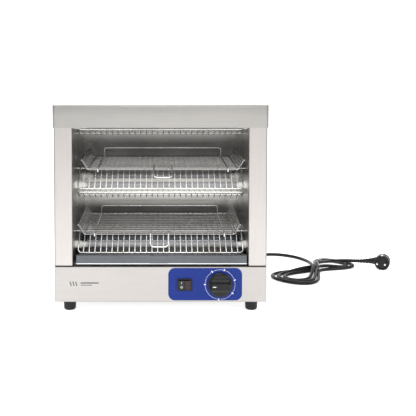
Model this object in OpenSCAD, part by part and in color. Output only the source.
// Two-deck quartz toaster with wire racks, crumb tray, twin switch, timer and mains cord.
// X is to the right seen from the front, the front faces -Y and Z is up.

/* [Body] */
// Width over the side panels
body_w = 446; // [440:1:452]
// Depth from the front face to the back of the rear panel
body_d = 276; // [270:1:284]
// Height over everything
total_h = 434; // [433:1:438]
// Height of the top cover's apron
cover_h = 47; // [44:1:48]
// How far the cover stands out past the body
cover_lip = 2; // [2:0.5:3]
// Thickness of the sheet metal
sheet_t = 1; // [0.8:0.1:1]
// Visible height of the feet
foot_h = 20.5; // [19:0.5:21]
// Height of the front fascia
fascia_h = 74; // [73:0.5:75]
// Width of each front post
post_w = 38.5; // [38:0.5:39]

/* [Cooking chamber] */
// Depth from the front face to the rear reflector
chamber_d = 245; // [244:1:246]
// Height from the lower deck to the upper deck
tier_pitch = 138; // [137:1:139]
// Backward slope of the racks and of the guards under them, in degrees
rack_tilt = 3.9; // [3.5:0.1:4.2]

/* [Heaters] */
// Outside diameter of a quartz tube
tube_dia = 12; // [11:0.5:13]
// Diameter of a ceramic end cap
cap_dia = 16; // [15:0.5:16]
// Sideways offset of the tubes
tube_shift = 3; // [2:0.5:4]

/* [Guards] */
// Number of wires in each guard
guard_wires = 28; // [20:1:28]
// Distance between guard wires
guard_pitch = 12.1; // [11:0.1:12.1]
// Diameter of a guard wire
guard_wire = 2; // [1.6:0.1:2.2]
// Diameter of the guard's frame wire
guard_frame = 3; // [2.6:0.1:3.2]
// Half width of a guard over its frame wire's middle
guard_half = 175; // [173:1:176]

/* [Racks] */
// Width of the rack floor
rack_w = 320; // [316:1:322]
// Number of cross wires in the rack floor
cross_wires = 12; // [10:1:12]
// Distance between cross wires
cross_pitch = 16; // [15:0.5:16]
// How far a side flap leans outward
flap_out = 12; // [10:1:12]
// Height of a side flap
flap_up = 20; // [16:1:22]
// Half width between the two runner wires
runner_half = 138; // [130:1:140]
// Height of the rear bail over the rack floor
bail_up = 20; // [16:1:22]
// Half width of the hairpin handle
handle_half = 19; // [17:1:20]

/* [Crumb tray] */
// Width of the tray
tray_w = 358; // [350:1:360]
// Height of the tray's front
tray_h = 20.5; // [18:0.5:21]

/* [Controls] */
// Width of the label plate
plate_w = 155; // [150:1:158]
// Height of the label plate
plate_h = 68.5; // [66:0.5:69]
// Switch centre to the right of the middle
switch_x = 50.5; // [49:0.5:52]
// Timer centre to the right of the middle
timer_x = 125; // [123:0.5:127]
// Diameter of the knob's skirt
knob_dia = 51; // [48:1:53]
// How far the knob's grip stands out from the front face
knob_reach = 22; // [20:1:24]

/* [Cord] */
// Diameter of the mains cord
cord_dia = 8.5; // [7:0.5:8.5]

/* [Hidden] */

eps = 0.01;
round_fn = 32;
screw_reach = 2.3;
cover_front = 1.5;
// Front face, set so that the part is centred on Y between the knob and the rear screws
front_y = (knob_reach - body_d - screw_reach) / 2;
half_w = body_w / 2;
open_half = half_w - post_w;
floor_z = foot_h + fascia_h + 1.5;
cover_z = total_h - cover_h;
panel_top = total_h - 31;
fascia_mid = foot_h + fascia_h / 2;
cover_half = half_w + cover_lip;

// Tube pairs: height of the front tube, height of the rear tube
tube_depths = [45, 190];
tube_heights = [[133, 143], [262.5, 265], [390, 390]];
// Rack places: sideways offset, height at the front end, depth of the front end
rack_front_d = 25;
lower_rack_at = [-2.5, 159];
upper_rack_at = [5, lower_rack_at.y + tier_pitch];
cross_wire = 2;
side_wire = 2.5;
runner_wire = 3;
rack_len = (cross_wires - 1) * cross_pitch;
over_cross = (cross_wire + runner_wire) / 2;
// Guard knees stand just under the racks
rack_gap = (cross_wire + guard_wire) / 2 + 0.3;
knee_d = 48;
guard_rear_d = 236;
function under_rack(z, d) = z + (d - rack_front_d) * tan(rack_tilt) - rack_gap / cos(rack_tilt);

// Cord hank: middle, angle in plan, outer loop lengths and half widths
tie_at = [405, 335];
hank_angle = 48;
left_loop = [152, 50];
right_loop = [124, 46];
hank_low = 0.2;
tie_half = 14.6;
hank_high = 26.4;
boot_at = [180, 52];
boot_len = 34;
// Route points are [right of middle, behind the front face, height]
lead_route = [[180, 310, 52], [180.5, 332, 50], [182, 356, 43.5], [186, 382, 32], [193, 406, 20],
    [203, 430, 10.6], [218, 454, 6.2], [240, 477, 4.9], [268, 496, 4.6], [300, 507, 4.6],
    [332, 507, 4.6], [360, 493, 4.6], [380, 472, 4.6], [393, 450, 4.6], [401, 428, 4.6],
    [405, 408, 4.6], [405, 393, 4.6]];
tail_route = [[484, 395.4, 13.8], [489.5, 395.5, 13.9], [509.5, 393.1, 14.2], [529, 386, 15]];
plug_start = [529, 386, 15];
plug_angle = -25;

function unit(v) = v / norm(v);
function left_of(v) = [-v.y, v.x];
function turned(v, a) = [v.x * cos(a) - v.y * sin(a), v.x * sin(a) + v.y * cos(a)];
function turn_at(p, i) = let (a = unit(p[i] - p[i - 1]), b = unit(p[i + 1] - p[i]))
    atan2(a.x * b.y - a.y * b.x, a * b);
function corner_reach(p, i, r) = i <= 0 || i >= len(p) - 1 ? 0 : r * tan(abs(turn_at(p, i)) / 2);

// Points and directions along a path whose corners are bent to radius r, with 4 steps in each bend
function bent(p, r) = concat(
    [[p[0], unit(p[1] - p[0])]],
    [for (i = [1 : 1 : len(p) - 2]) let (
        a = unit(p[i] - p[i - 1]), turn = turn_at(p, i), side = sign(turn),
        c = p[i] - a * corner_reach(p, i, r) + left_of(a) * side * r)
        for (k = [0 : 4]) let (dir = turned(a, turn * k / 4)) [c - left_of(dir) * side * r, dir]],
    [[p[len(p) - 1], unit(p[len(p) - 1] - p[len(p) - 2])]]);

// Flat outline of a sheet of thickness t that follows a bent path
module sheet_outline(p, r, t = sheet_t) {
    s = bent(p, r);
    polygon(concat([for (q = s) q[0] + left_of(q[1]) * t / 2],
        [for (i = [len(s) - 1 : -1 : 0]) s[i][0] - left_of(s[i][1]) * t / 2]));
}

// Moves a part drawn from the front face to its place; y is then the depth behind the front face
module at_front() translate([0, front_y, 0]) children();

// Extrudes an outline of [depth, height] points across the width from x0 to x1
module across(x0, x1) translate([x0, 0, 0]) rotate([90, 0, 90]) linear_extrude(x1 - x0) children();

// Box between two corners
module block(a, b) translate(a) cube(b - a);

// Straight round bar between two points
module bar(a, b, d) {
    v = b - a;
    translate(a) rotate([0, acos(v.z / norm(v)), atan2(v.y, v.x)]) cylinder(h = norm(v), d = d, $fn = round_fn);
}

// Flat bent wire: straight bars and true bends of radius r along the corner points p
module wire(p, d, r) {
    last = len(p) - 1;
    for (i = [0 : last - 1]) {
        dir = unit(p[i + 1] - p[i]);
        a = p[i] + dir * corner_reach(p, i, r);
        b = p[i + 1] - dir * corner_reach(p, i + 1, r);
        bar([a.x, a.y, 0], [b.x, b.y, 0], d);
    }
    for (i = [1 : 1 : last - 1]) {
        dir = unit(p[i] - p[i - 1]);
        turn = turn_at(p, i);
        side = sign(turn);
        c = p[i] - dir * corner_reach(p, i, r) + left_of(dir) * side * r;
        heading = atan2(dir.y, dir.x);
        start = turn > 0 ? heading - 90 : heading + 90 + turn;
        translate([c.x, c.y, 0]) rotate([0, 0, start])
            rotate_extrude(angle = abs(turn), $fn = 48) translate([r, 0]) circle(d = d, $fn = round_fn);
    }
}

// Stands a flat [depth, height] drawing upright at one x
module upright(x) translate([x, 0, 0]) rotate([90, 0, 90]) children();

// Swept round tube through the given points
function smooth(p, n) = concat(
    [for (i = [0 : len(p) - 2]) let (a = p[max(i - 1, 0)], b = p[i], c = p[i + 1], e = p[min(i + 2, len(p) - 1)])
        for (k = [0 : n - 1]) let (t = k / n)
            0.5 * (2 * b + (c - a) * t + (2 * a - 5 * b + 4 * c - e) * t * t + (3 * b - a - 3 * c + e) * t * t * t)],
    [p[len(p) - 1]]);
function along(p, i) = unit(p[min(i + 1, len(p) - 1)] - p[max(i - 1, 0)]);
function sideways(t) = unit(cross(t, abs(t.z) > 0.95 ? [0, 1, 0] : [0, 0, 1]));
function ring(c, t, r, sides) = let (s = sideways(t), u = cross(s, t))
    [for (k = [0 : sides - 1]) c + r * (cos(360 * k / sides) * s + sin(360 * k / sides) * u)];
module swept_tube(p, d, sides) {
    last = len(p) - 1;
    points = [for (i = [0 : last]) each ring(p[i], along(p, i), d / 2, sides)];
    walls = [for (i = [0 : last - 1]) for (k = [0 : sides - 1]) let (m = (k + 1) % sides)
        [i * sides + k, i * sides + m, (i + 1) * sides + m, (i + 1) * sides + k]];
    polyhedron(points, concat(walls, [[for (k = [sides - 1 : -1 : 0]) k]],
        [[for (k = [0 : sides - 1]) last * sides + k]]), convexity = 6);
}

// ---- Sheet metal ----

module top_cover() color("silver") at_front() {
    t = sheet_t;
    rear = body_d + cover_front;
    front_path = [[t / 2 - cover_front, cover_z], [t / 2 - cover_front, total_h - t / 2],
        [rear - t / 2, total_h - t / 2], [rear - t / 2, cover_z]];
    cheek_path = [[half_w - 2, t / 2 - cover_front], [cover_half - t / 2, t / 2 - cover_front],
        [cover_half - t / 2, rear]];
    difference() {
        across(-cover_half + t / 2, cover_half - t / 2) sheet_outline(front_path, 2);
        for (s = [-1, 1])
            translate([s * (half_w + 3 - 0.3), 0, cover_z + cover_h / 2 - 3])
                cube([10, 4, cover_h + 2], center = true);
    }
    for (s = [0, 1]) mirror([s, 0, 0])
        translate([0, 0, cover_z]) linear_extrude(cover_h) sheet_outline(cheek_path, 1.2);
    across(-open_half + 1.5, open_half - 1.5)
        sheet_outline([[9, cover_z + t / 2], [t / 2 - cover_front, cover_z + t / 2],
            [t / 2 - cover_front, cover_z + 8]], 1.6);
}

module side_panel() {
    t = sheet_t;
    skin = half_w - t / 2;
    rear = body_d - sheet_t;
    upper = [[open_half + t / 2, 12], [open_half + t / 2, t / 2], [skin, t / 2], [skin, rear - t / 2],
        [skin - 17, rear - t / 2]];
    lower = [[skin, 12.5], [skin, rear - t / 2], [skin - 17, rear - t / 2]];
    difference() {
        union() {
            translate([0, 0, floor_z + 1]) linear_extrude(panel_top - floor_z - 1) sheet_outline(upper, 2.2);
            translate([0, 0, foot_h]) linear_extrude(floor_z + 1 - foot_h) sheet_outline(lower, 2.2);
            block([skin - 14, 16, foot_h], [skin, rear - 6, foot_h + t]);
            block([skin - 14, 16, panel_top - t], [skin, rear - 6, panel_top]);
        }
        for (z = [180, 205, 230, 255]) translate([skin, 190, z]) vent_slot(46);
    }
}
// Slot with round ends along Y, for a wall that faces sideways
module vent_slot(l) rotate([0, 90, 0]) linear_extrude(6, center = true)
    union() {
        square([5, l - 5], center = true);
        for (s = [-1, 1]) translate([0, s * (l - 5) / 2]) circle(d = 5, $fn = round_fn);
    }
module left_side_panel() color("silver") at_front() mirror([1, 0, 0]) side_panel();
module right_side_panel() color("silver") at_front() side_panel();

module front_fascia() color("silver") at_front() {
    t = sheet_t;
    wrap = [[half_w - t / 2, 12], [half_w - t / 2, t / 2], [-half_w + t / 2, t / 2], [-half_w + t / 2, 12]];
    z1 = foot_h + fascia_h;
    difference() {
        union() {
            translate([0, 0, foot_h]) linear_extrude(fascia_h) sheet_outline(wrap, 1.6);
            block([-half_w + 2, t / 2, z1 - t], [half_w - 2, 18, z1]);
            block([-half_w + 2, t / 2, foot_h], [half_w - 2, 4, foot_h + t]);
        }
        translate([switch_x, 0, fascia_mid]) cube([27.4, 10, 23.4], center = true);
        translate([timer_x, -5, fascia_mid]) rotate([-90, 0, 0]) cylinder(h = 12, d = 10.4, $fn = round_fn);
    }
}

module base_pan() color("gray") at_front() difference() {
    z0 = foot_h + sheet_t;
    union() {
        block([-half_w + 1.4, 4.3, z0], [half_w - 1.4, body_d - 2 * sheet_t, z0 + sheet_t]);
        for (s = [-1, 1]) translate([s * (half_w - 16), body_d / 2, z0 + 6])
            cube([sheet_t, body_d - 60, 12], center = true);
    }
    for (x = [-120 : 20 : 120]) for (d = [85, 185]) translate([x, d, z0]) rotate([0, 90, 0]) vent_slot(60);
    foot_places() translate([0, 0, foot_h - 5]) cylinder(h = 12, d = 4.4, $fn = round_fn);
}

module rear_panel() color("silver") at_front() difference() {
    block([-half_w + 0.5, body_d - sheet_t, foot_h + 0.5], [half_w - 0.5, body_d, panel_top - 1]);
    for (x = [-150 : 25 : 150]) for (z = [150, 290]) translate([x, body_d, z])
        rotate([0, 0, 90]) rotate([90, 0, 0]) vent_slot(70);
    translate([boot_at.x, body_d - 5, boot_at.y]) rotate([-90, 0, 0]) cylinder(h = 10, d = 18, $fn = round_fn);
    rear_screw_places() rotate([-90, 0, 0]) translate([0, 0, -5]) cylinder(h = 10, d = 4.4, $fn = round_fn);
}

// ---- Chamber lining ----

module rear_reflector() color("gainsboro") at_front()
    block([-open_half, chamber_d, floor_z + sheet_t], [open_half, chamber_d + sheet_t, panel_top + 4]);

module liner() difference() {
    block([open_half, 12.3, floor_z + sheet_t], [open_half + sheet_t, chamber_d + sheet_t, panel_top + 4]);
    tube_places() translate([open_half, 0, 0]) rotate([0, 90, 0])
        cylinder(h = 10, d = cap_dia + 0.4, center = true, $fn = round_fn);
}
module left_liner() color("gainsboro") at_front() mirror([1, 0, 0]) liner();
module right_liner() color("gainsboro") at_front() liner();

module roof_reflector() color("gainsboro") at_front()
    block([-open_half - sheet_t, 1.2, panel_top + 4], [open_half + sheet_t, chamber_d + sheet_t, panel_top + 5]);

module chamber_floor() color("dimgray") at_front() difference() {
    block([-half_w + 1.4, 20, floor_z], [half_w - 1.4, body_d - 2 * sheet_t - 0.2, floor_z + sheet_t]);
    for (s = [-1, 1]) translate([s * 203, 140, floor_z - 5]) cylinder(h = 12, d = 20, $fn = round_fn);
}

module tray_rails() color("gray") at_front() for (s = [-1, 1])
    block([s * 162 - 10, 22, floor_z + sheet_t], [s * 162 + 10, chamber_d - 2, floor_z + sheet_t + 1.8]);

// ---- Controls ----

module label_plate() color("royalblue") at_front() difference() {
    r = 14;
    translate([93.7, 0, fascia_mid + 0.6]) rotate([90, 0, 0]) linear_extrude(0.8) union() {
        square([plate_w - 2 * r, plate_h], center = true);
        square([plate_w, plate_h - 2 * r], center = true);
        for (x = [-1, 1]) for (y = [-1, 1])
            translate([x * (plate_w / 2 - r), y * (plate_h / 2 - r)]) circle(r = r, $fn = 64);
    }
    translate([switch_x, 0, fascia_mid]) cube([27.4, 10, 23.4], center = true);
    translate([timer_x, -5, fascia_mid]) rotate([-90, 0, 0]) cylinder(h = 12, d = 10.4, $fn = round_fn);
}

module switch_housing() color([0.08, 0.08, 0.09]) at_front() translate([switch_x, 0, fascia_mid]) difference() {
    union() {
        block([-15.8, -2.8, -12.6], [15.8, -0.8, 12.6]);
        block([-13.6, -1, -11.6], [13.6, 21, 11.6]);
    }
    for (s = [-1, 1]) translate([s * 6.5, 3, 0]) cube([12.4, 14, 21.6], center = true);
}

// Rocker drawn centred on its pivot, then tilted to its off place
rocker_tilt = 9;
module rocker(s) at_front() translate([switch_x + s * 6.5, 0, fascia_mid]) rotate([rocker_tilt, 0, 0]) {
    rotate([0, 90, 0]) cylinder(h = 12.3, d = 2.6, center = true, $fn = round_fn);
    across(-5.9, 5.9) polygon([[-4.4, 9.7], [-2.6, 0], [-4.4, -9.7], [0.6, -9.3], [2.6, -3.2], [5.6, -2.4],
        [5.6, 2.4], [2.6, 3.2], [0.6, 9.3]]);
}
module left_rocker() color([0.1, 0.1, 0.1]) rocker(-1);
module right_rocker() color("darkred") rocker(1);

module timer_knob() color([0.07, 0.07, 0.07]) at_front() translate([timer_x, 0, fascia_mid]) rotate([90, 0, 0])
    difference() {
        r = knob_dia / 2;
        rotate_extrude($fn = 64) polygon([[0, 1.6], [r - 1, 1.6], [r, 2.6], [r, 5.4], [r - 1.5, 6.6],
            [r - 3.2, 7.4], [r - 5, 19], [r - 6.4, 21.2], [r - 8.4, knob_reach], [0, knob_reach]]);
        for (s = [-1, 1]) translate([0, s * 23.2, 24.6]) rotate([0, 90, 0])
            cylinder(h = knob_dia, r = 17.2, center = true, $fn = 64);
        translate([0, 0, 1]) cylinder(h = 13.6, d = 6.1, $fn = round_fn);
    }

module timer_shaft() color("silver") at_front() translate([timer_x, 0, fascia_mid]) rotate([90, 0, 0])
    translate([0, 0, -9]) cylinder(h = 23.2, d = 6, $fn = round_fn);

module timer_body() color("beige") at_front() translate([timer_x, 0, fascia_mid]) difference() {
    union() {
        block([-21, 1.2, -21], [21, 33, 21]);
        rotate([90, 0, 0]) translate([0, 0, -2]) cylinder(h = 3, d = 10, $fn = round_fn);
        for (x = [-12, 0, 12]) block([x - 3.1, 33, -8.5], [x + 3.1, 41, -7.7]);
    }
    rotate([-90, 0, 0]) translate([0, 0, -2]) cylinder(h = 12.4, d = 6.12, $fn = round_fn);
}

// ---- Heaters ----

// Runs its children at each tube, with the origin on the tube's axis
module tube_places(rows = [0 : 2]) for (row = rows) for (i = [0, 1])
    translate([0, tube_depths[i], tube_heights[row][i]]) children();

module tube_pair(row) color([0.85, 0.87, 0.9, 0.6]) at_front() tube_places([row]) translate([tube_shift, 0, 0])
    rotate([0, 90, 0]) difference() {
        cylinder(h = 346, d = tube_dia, center = true, $fn = round_fn);
        cylinder(h = 348, d = tube_dia - 2.4, center = true, $fn = round_fn);
    }
module bottom_tubes() tube_pair(0);
module middle_tubes() tube_pair(1);
module top_tubes() tube_pair(2);

module heater_coils() color("dimgray") at_front() tube_places() translate([tube_shift, 0, 0]) rotate([0, 90, 0])
    cylinder(h = 345, d = 6, center = true, $fn = round_fn);

module tube_end_caps() color("white") at_front() tube_places() for (s = [-1, 1])
    translate([tube_shift + s * 173, 0, 0]) rotate([0, s * 90, 0]) {
        cylinder(h = 20, d = cap_dia, $fn = round_fn);
        cylinder(h = 25, d = 7, $fn = round_fn);
    }

module tube_brackets() color("silver") at_front() for (s = [-1, 1]) for (row = [0 : 2]) difference() {
    lo = min(tube_heights[row][0], tube_heights[row][1]);
    hi = max(tube_heights[row][0], tube_heights[row][1]);
    translate([s * (open_half + 3.2), (tube_depths[0] + tube_depths[1]) / 2, (lo + hi) / 2])
        cube([1.5, tube_depths[1] - tube_depths[0] + 40, hi - lo + 27], center = true);
    tube_places([row]) rotate([0, 90, 0])
        cylinder(h = 2 * half_w, d = cap_dia + 0.2, center = true, $fn = round_fn);
}

// ---- Guards ----

// front and knee are [depth, height] of the frame wire, tilt is the grid's slope, out is +1 when wires lie on top
stack = (guard_wire + guard_frame) / 2 * 0.9;
function wire_x(i) = (i - (guard_wires - 1) / 2) * guard_pitch;
knee_gap = 1.4;

module guard_grid(knee, tilt, out) color("lightgray") at_front() translate([0, knee.x, knee.y]) rotate([tilt, 0, 0]) {
    reach = knee_gap;
    rear = (guard_rear_d - knee.x) / cos(tilt);
    for (i = [0 : guard_wires - 1]) bar([wire_x(i), reach, 0], [wire_x(i), rear, 0], guard_wire);
    for (s = [-1, 1])
        bar([s * guard_half, reach, -out * stack], [s * guard_half, rear - 1, -out * stack], guard_frame);
    for (y = [22, rear - 2])
        bar([-open_half + 0.3, y, -out * stack], [open_half - 0.3, y, -out * stack], guard_frame);
}

module guard_front(front, knee, out) color("lightgray") at_front() {
    slope = atan2(knee.y - front.y, knee.x - front.x);
    reach = norm(knee - front);
    translate([0, front.x, front.y]) rotate([slope, 0, 0]) {
        for (i = [0 : guard_wires - 1]) bar([wire_x(i), 0, 0], [wire_x(i), reach, 0], guard_wire);
        translate([0, 0, -out * stack])
            wire([[-guard_half, reach - 1], [-guard_half, 1.5], [guard_half, 1.5], [guard_half, reach - 1]],
                guard_frame, 10);
    }
}

bottom_front = [12, 122];
bottom_knee = [knee_d, under_rack(lower_rack_at.y, knee_d)];
upper_front = [12, 258.5];
upper_knee = [knee_d, under_rack(upper_rack_at.y, knee_d)];
lower_front = [12, 249];
lower_knee = [45, 236];
top_front = [12, 382];
top_knee = [45, 371];
module bottom_guard_grid() guard_grid(bottom_knee, rack_tilt, 1);
module bottom_guard_front() guard_front(bottom_front, bottom_knee, 1);
module upper_guard_grid() guard_grid(upper_knee, rack_tilt, 1);
module upper_guard_front() guard_front(upper_front, upper_knee, 1);
module lower_guard_grid() guard_grid(lower_knee, 0, -1);
module lower_guard_front() guard_front(lower_front, lower_knee, -1);
module top_guard_grid() guard_grid(top_knee, 0, -1);
module top_guard_front() guard_front(top_front, top_knee, -1);

// ---- Feet and fasteners ----

module foot_places() for (x = [-193, 193]) for (d = [18.8, 252]) translate([x, d, 0]) children();
module feet() color([0.06, 0.06, 0.06]) at_front() foot_places() difference() {
    h = foot_h + sheet_t;
    rotate_extrude($fn = 64) polygon(concat([[0, 0], [7, 0]],
        [for (a = [-70 : 20 : -10]) [8.6 + 4 * cos(a), 4 + 4 * sin(a)]],
        [[13.4, h - 3], [14.2, h - 1.4], [14.2, h], [0, h]]));
    translate([0, 0, -1]) cylinder(h = 5, d = 8, $fn = round_fn);
    translate([0, 0, 1]) cylinder(h = h, d = 4.2, $fn = round_fn);
}
module foot_screws() color("silver") at_front() foot_places() {
    translate([0, 0, 2.2]) cylinder(h = 1.8, d = 7.4, $fn = round_fn);
    translate([0, 0, 3]) cylinder(h = foot_h + 3, d = 4, $fn = round_fn);
}

// Pan head screw, head outward along +Z from z = 0, with a cross recess
module pan_screw(head_h = 2.2, head_d = 7.4, shank = 8) difference() {
    union() {
        translate([0, 0, eps]) cylinder(h = head_h * 0.5, d = head_d, $fn = round_fn);
        translate([0, 0, head_h * 0.5]) cylinder(h = head_h * 0.5, d1 = head_d, d2 = head_d * 0.7, $fn = round_fn);
        translate([0, 0, -shank]) cylinder(h = shank + 1, d = 4, $fn = round_fn);
    }
    for (a = [0, 90]) rotate([0, 0, a]) translate([0, 0, head_h]) cube([0.9, 3.8, 2.4], center = true);
}
module cover_screws() color("silver") at_front() for (s = [-1, 1]) for (d = [20, 256])
    translate([s * cover_half, d, cover_z + 6.5]) rotate([0, s * 90, 0]) pan_screw(shank = 0.8);
module side_screws() color("silver") at_front() for (s = [-1, 1]) for (d = [24, 256]) for (z = [50, 108])
    translate([s * half_w, d, z]) rotate([0, s * 90, 0]) pan_screw(head_h = 1.4, shank = 0.8);
module rear_screw_places() for (x = [-1, 1]) for (z = [32, 145, 258, 371])
    translate([x * 213, body_d, z]) children();
module rear_screws() color("silver") at_front() rear_screw_places() rotate([-90, 0, 0]) pan_screw(head_h = screw_reach);

// ---- Electrics in the base ----

module terminal_block() color("ivory") at_front() translate([130, 232, foot_h + 2 * sheet_t]) difference() {
    block([-24, -9, 0], [24, 9, 20]);
    for (x = [-16, 0, 16]) translate([x, 0, 10]) cylinder(h = 20, d = 6, $fn = round_fn);
}

wire_ends = [for (i = [-1 : 1]) [130 + 16 * i, 222, 32]];
module inner_wiring() color("saddlebrown") at_front() {
    for (i = [0 : 2]) {
        swept_tube(smooth([wire_ends[i], [126 + 9 * i, 190, 30], [100 + 9 * i, 110, 27], [60 + 7 * i, 60, 36],
            [44 + 6 * i, 36, 54], [44 + 6 * i, 22, 56]], 2), 2.6, 8);
        swept_tube(smooth([[118 + 7 * i, 222, 40], [124 + 5 * i, 150, 42 + 4 * i], [113 + 12 * i, 70, 50],
            [113 + 12 * i, 42, 46]], 2), 2.6, 8);
    }
    for (s = [-1, 1]) swept_tube(smooth([[s * 15 + 130, 228, 46], [s * 110 + 40, 215, 64], [s * 196, 165, 78],
        [s * 203, 141, 92], [s * 203, 139, 134], [s * 204, 120, 264], [s * 204, 120, 389]], 2), 5, 8);
}

// ---- Racks, drawn from the middle of the front cross wire, y up the slope ----

module on_rack(place) translate([place.x, front_y + rack_front_d, place.y]) rotate([rack_tilt, 0, 0]) children();

module rack_floor(place) color("gainsboro") on_rack(place) {
    for (i = [0 : cross_wires - 1])
        bar([-rack_w / 2 + 1, i * cross_pitch, 0], [rack_w / 2 - 1, i * cross_pitch, 0], cross_wire);
    for (s = [-1, 1])
        bar([s * (rack_w / 2 - 1.6), -1.2, 1.9], [s * (rack_w / 2 - 1.6), rack_len + 1.2, 1.9], side_wire);
}

module rack_flaps(place) color("gainsboro") on_rack(place) for (s = [-1, 1]) {
    foot = [rack_w / 2 + 0.4, 0.6];
    tip = foot + [flap_out, flap_up];
    for (i = [0 : cross_wires - 1])
        bar([s * foot.x, i * cross_pitch, foot.y], [s * tip.x, i * cross_pitch, tip.y], cross_wire);
    for (k = [0.3, 0.55, 0.8]) let (q = foot + [flap_out, flap_up] * k)
        bar([s * (q.x - 1.3), -1, q.y + 0.6], [s * (q.x - 1.3), rack_len + 1, q.y + 0.6], 1.6);
    bar([s * tip.x, -1.2, tip.y], [s * tip.x, rack_len + 1.2, tip.y], side_wire);
}

module rack_runner(place) color("gainsboro") on_rack(place) {
    rise = over_cross + bail_up / 2;
    for (s = [-1, 1]) upright(s * runner_half)
        wire([[-3.2, -4], [-3.2, over_cross], [rack_len, over_cross], [rack_len, rise]], runner_wire, 3);
    translate([0, rack_len, 0]) rotate([90, 0, 0])
        wire([[-runner_half, rise], [-runner_half, over_cross + bail_up], [runner_half, over_cross + bail_up],
            [runner_half, rise]], runner_wire, 6);
}

module rack_handle(place, forward, down) color("gainsboro") on_rack(place) {
    knee = [-4, over_cross];
    reach = norm([forward, down]);
    for (s = [-1, 1]) let (x = s * (handle_half + 0.4))
        bar([x, 2.4 * cross_pitch, knee.y], [x, knee.x - 1, knee.y], runner_wire);
    translate([0, knee.x, knee.y]) rotate([atan2(-down, -forward), 0, 0])
        wire([[-handle_half, -1], [-handle_half, reach], [handle_half, reach], [handle_half, -1]], runner_wire, 9);
}

module upper_rack_floor() rack_floor(upper_rack_at);
module upper_rack_flaps() rack_flaps(upper_rack_at);
module upper_rack_runner() rack_runner(upper_rack_at);
module upper_rack_handle() rack_handle(upper_rack_at, 20, 15);
module lower_rack_floor() rack_floor(lower_rack_at);
module lower_rack_flaps() rack_flaps(lower_rack_at);
module lower_rack_runner() rack_runner(lower_rack_at);
module lower_rack_handle() rack_handle(lower_rack_at, 15, 25);

// ---- Crumb tray ----

module crumb_tray() color("lightslategray") at_front() {
    t = sheet_t;
    z0 = floor_z + sheet_t + 2;
    w = tray_w / 2;
    shift = 2;
    across(shift - w, shift + w)
        sheet_outline([[chamber_d - 6, z0 + 12], [chamber_d - 6, z0 + t / 2], [3, z0 + t / 2],
            [3, z0 + tray_h - t / 2], [9, z0 + tray_h - t / 2]], 1.2);
    for (s = [-1, 1])
        block([shift + s * (w - t / 2) - t / 2, 9, z0], [shift + s * (w - t / 2) + t / 2, chamber_d - 6, z0 + 15]);
    // pressed grip panel
    difference() {
        block([-22, 1, z0 + 1.5], [15, 3, z0 + tray_h - 2]);
        block([-20.4, 0, z0 + 3.5], [13.4, 1.6, z0 + tray_h - 4]);
    }
}

// ---- Cord ----

module cord_boot() color([0.07, 0.07, 0.07]) at_front() translate([boot_at.x, body_d, boot_at.y]) rotate([-90, 0, 0]) {
    rotate_extrude($fn = 48) polygon([[0, 0], [11, 0], [11, 2.6], [8, 3.4], [7.8, 8], [5.4, boot_len],
        [0, boot_len]]);
    translate([0, 0, -9]) cylinder(h = 9, d = 17.6, $fn = round_fn);
}

module cord_lead() color([0.08, 0.08, 0.08]) at_front() swept_tube(smooth(lead_route, 2), cord_dia, 8);
module cord_tail() color([0.08, 0.08, 0.08]) at_front() swept_tube(smooth(tail_route, 2), cord_dia, 8);

// One teardrop loop that leaves the tie along u and comes back to it
function loop_outline(side, size, grow) = [for (a = [20 : 10 : 340])
    [side * ((size[0] + grow) * (1 - cos(a)) / 2), (size[1] + grow) / 0.65 * sin(a) * (1 - cos(a)) / 2]];
module at_tie() translate([tie_at.x, tie_at.y, 0]) rotate([0, 0, hank_angle]) children();
module cord_hank() color([0.08, 0.08, 0.08]) at_front() at_tie() translate([0, 0, hank_low])
    linear_extrude(hank_high - hank_low) union() {
        polygon(loop_outline(-1, left_loop, cord_dia / 2 + 1));
        polygon(loop_outline(1, right_loop, cord_dia / 2 + 1));
        square([36, 2 * tie_half], center = true);
    }

module cord_tie() color("whitesmoke") at_front() at_tie() difference() {
    block([-1.6, -tie_half - 0.8, 0.3], [1.6, tie_half + 0.8, hank_high + 0.8]);
    block([-3, -tie_half, 0], [3, tie_half, hank_high]);
}

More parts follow.
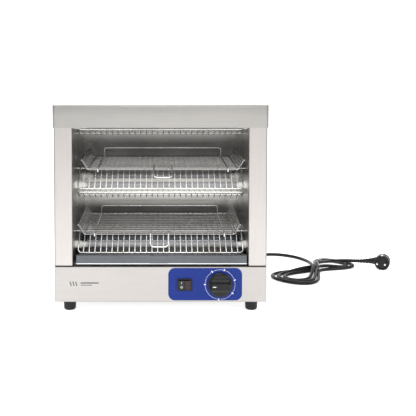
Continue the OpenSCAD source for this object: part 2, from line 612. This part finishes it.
// Plug drawn with the cord coming in along +X at the origin and its pins toward -Y
plug_in = 62;
plug_z = 19.9;
module at_plug() translate([plug_start.x, plug_start.y, 0]) rotate([0, 0, plug_angle]) children();
module plug_body() color([0.06, 0.06, 0.06]) at_front() at_plug() {
    z = plug_z;
    translate([plug_in, 14, z]) rotate([90, 0, 0]) {
        cylinder(h = 34, d = 38, $fn = 64);
        translate([0, 0, -5]) cylinder(h = 5, d1 = 30, d2 = 38, $fn = 64);
    }
    hull() {
        translate([22, 4, 16.4]) rotate([0, 90, 0]) cylinder(h = 1, d = 13, $fn = round_fn);
        translate([48, 4, z]) rotate([0, 90, 0]) cylinder(h = 1, d = 20, $fn = round_fn);
    }
    hull() {
        translate([-0.2, 0, plug_start.z]) rotate([0, 90, 0]) cylinder(h = 0.2, d = 10, $fn = round_fn);
        translate([22, 4, 16.4]) rotate([0, 90, 0]) cylinder(h = 0.2, d = 13, $fn = round_fn);
    }
}
module plug_pins() color("silver") at_front() at_plug() {
    for (s = [-1, 1]) translate([plug_in + s * 9.5, -20, plug_z]) rotate([90, 0, 0])
        cylinder(h = 19, d = 4.8, $fn = round_fn);
    for (s = [-1, 1]) translate([plug_in, -12, plug_z + s * 19.3]) cube([5, 14, 0.6], center = true);
}

top_cover();
left_side_panel();
right_side_panel();
front_fascia();
base_pan();
rear_panel();
rear_reflector();
left_liner();
right_liner();
roof_reflector();
chamber_floor();
tray_rails();
label_plate();
switch_housing();
timer_body();
bottom_tubes();
middle_tubes();
top_tubes();
heater_coils();
tube_end_caps();
tube_brackets();
bottom_guard_grid();
bottom_guard_front();
upper_guard_grid();
upper_guard_front();
lower_guard_grid();
lower_guard_front();
top_guard_grid();
top_guard_front();
feet();
foot_screws();
cover_screws();
side_screws();
rear_screws();
terminal_block();
inner_wiring();
upper_rack_floor();
upper_rack_flaps();
upper_rack_runner();
upper_rack_handle();
lower_rack_floor();
lower_rack_flaps();
lower_rack_runner();
lower_rack_handle();
crumb_tray();
left_rocker();
right_rocker();
timer_knob();
timer_shaft();
cord_boot();
cord_lead();
cord_hank();
cord_tail();
cord_tie();
plug_body();
plug_pins();
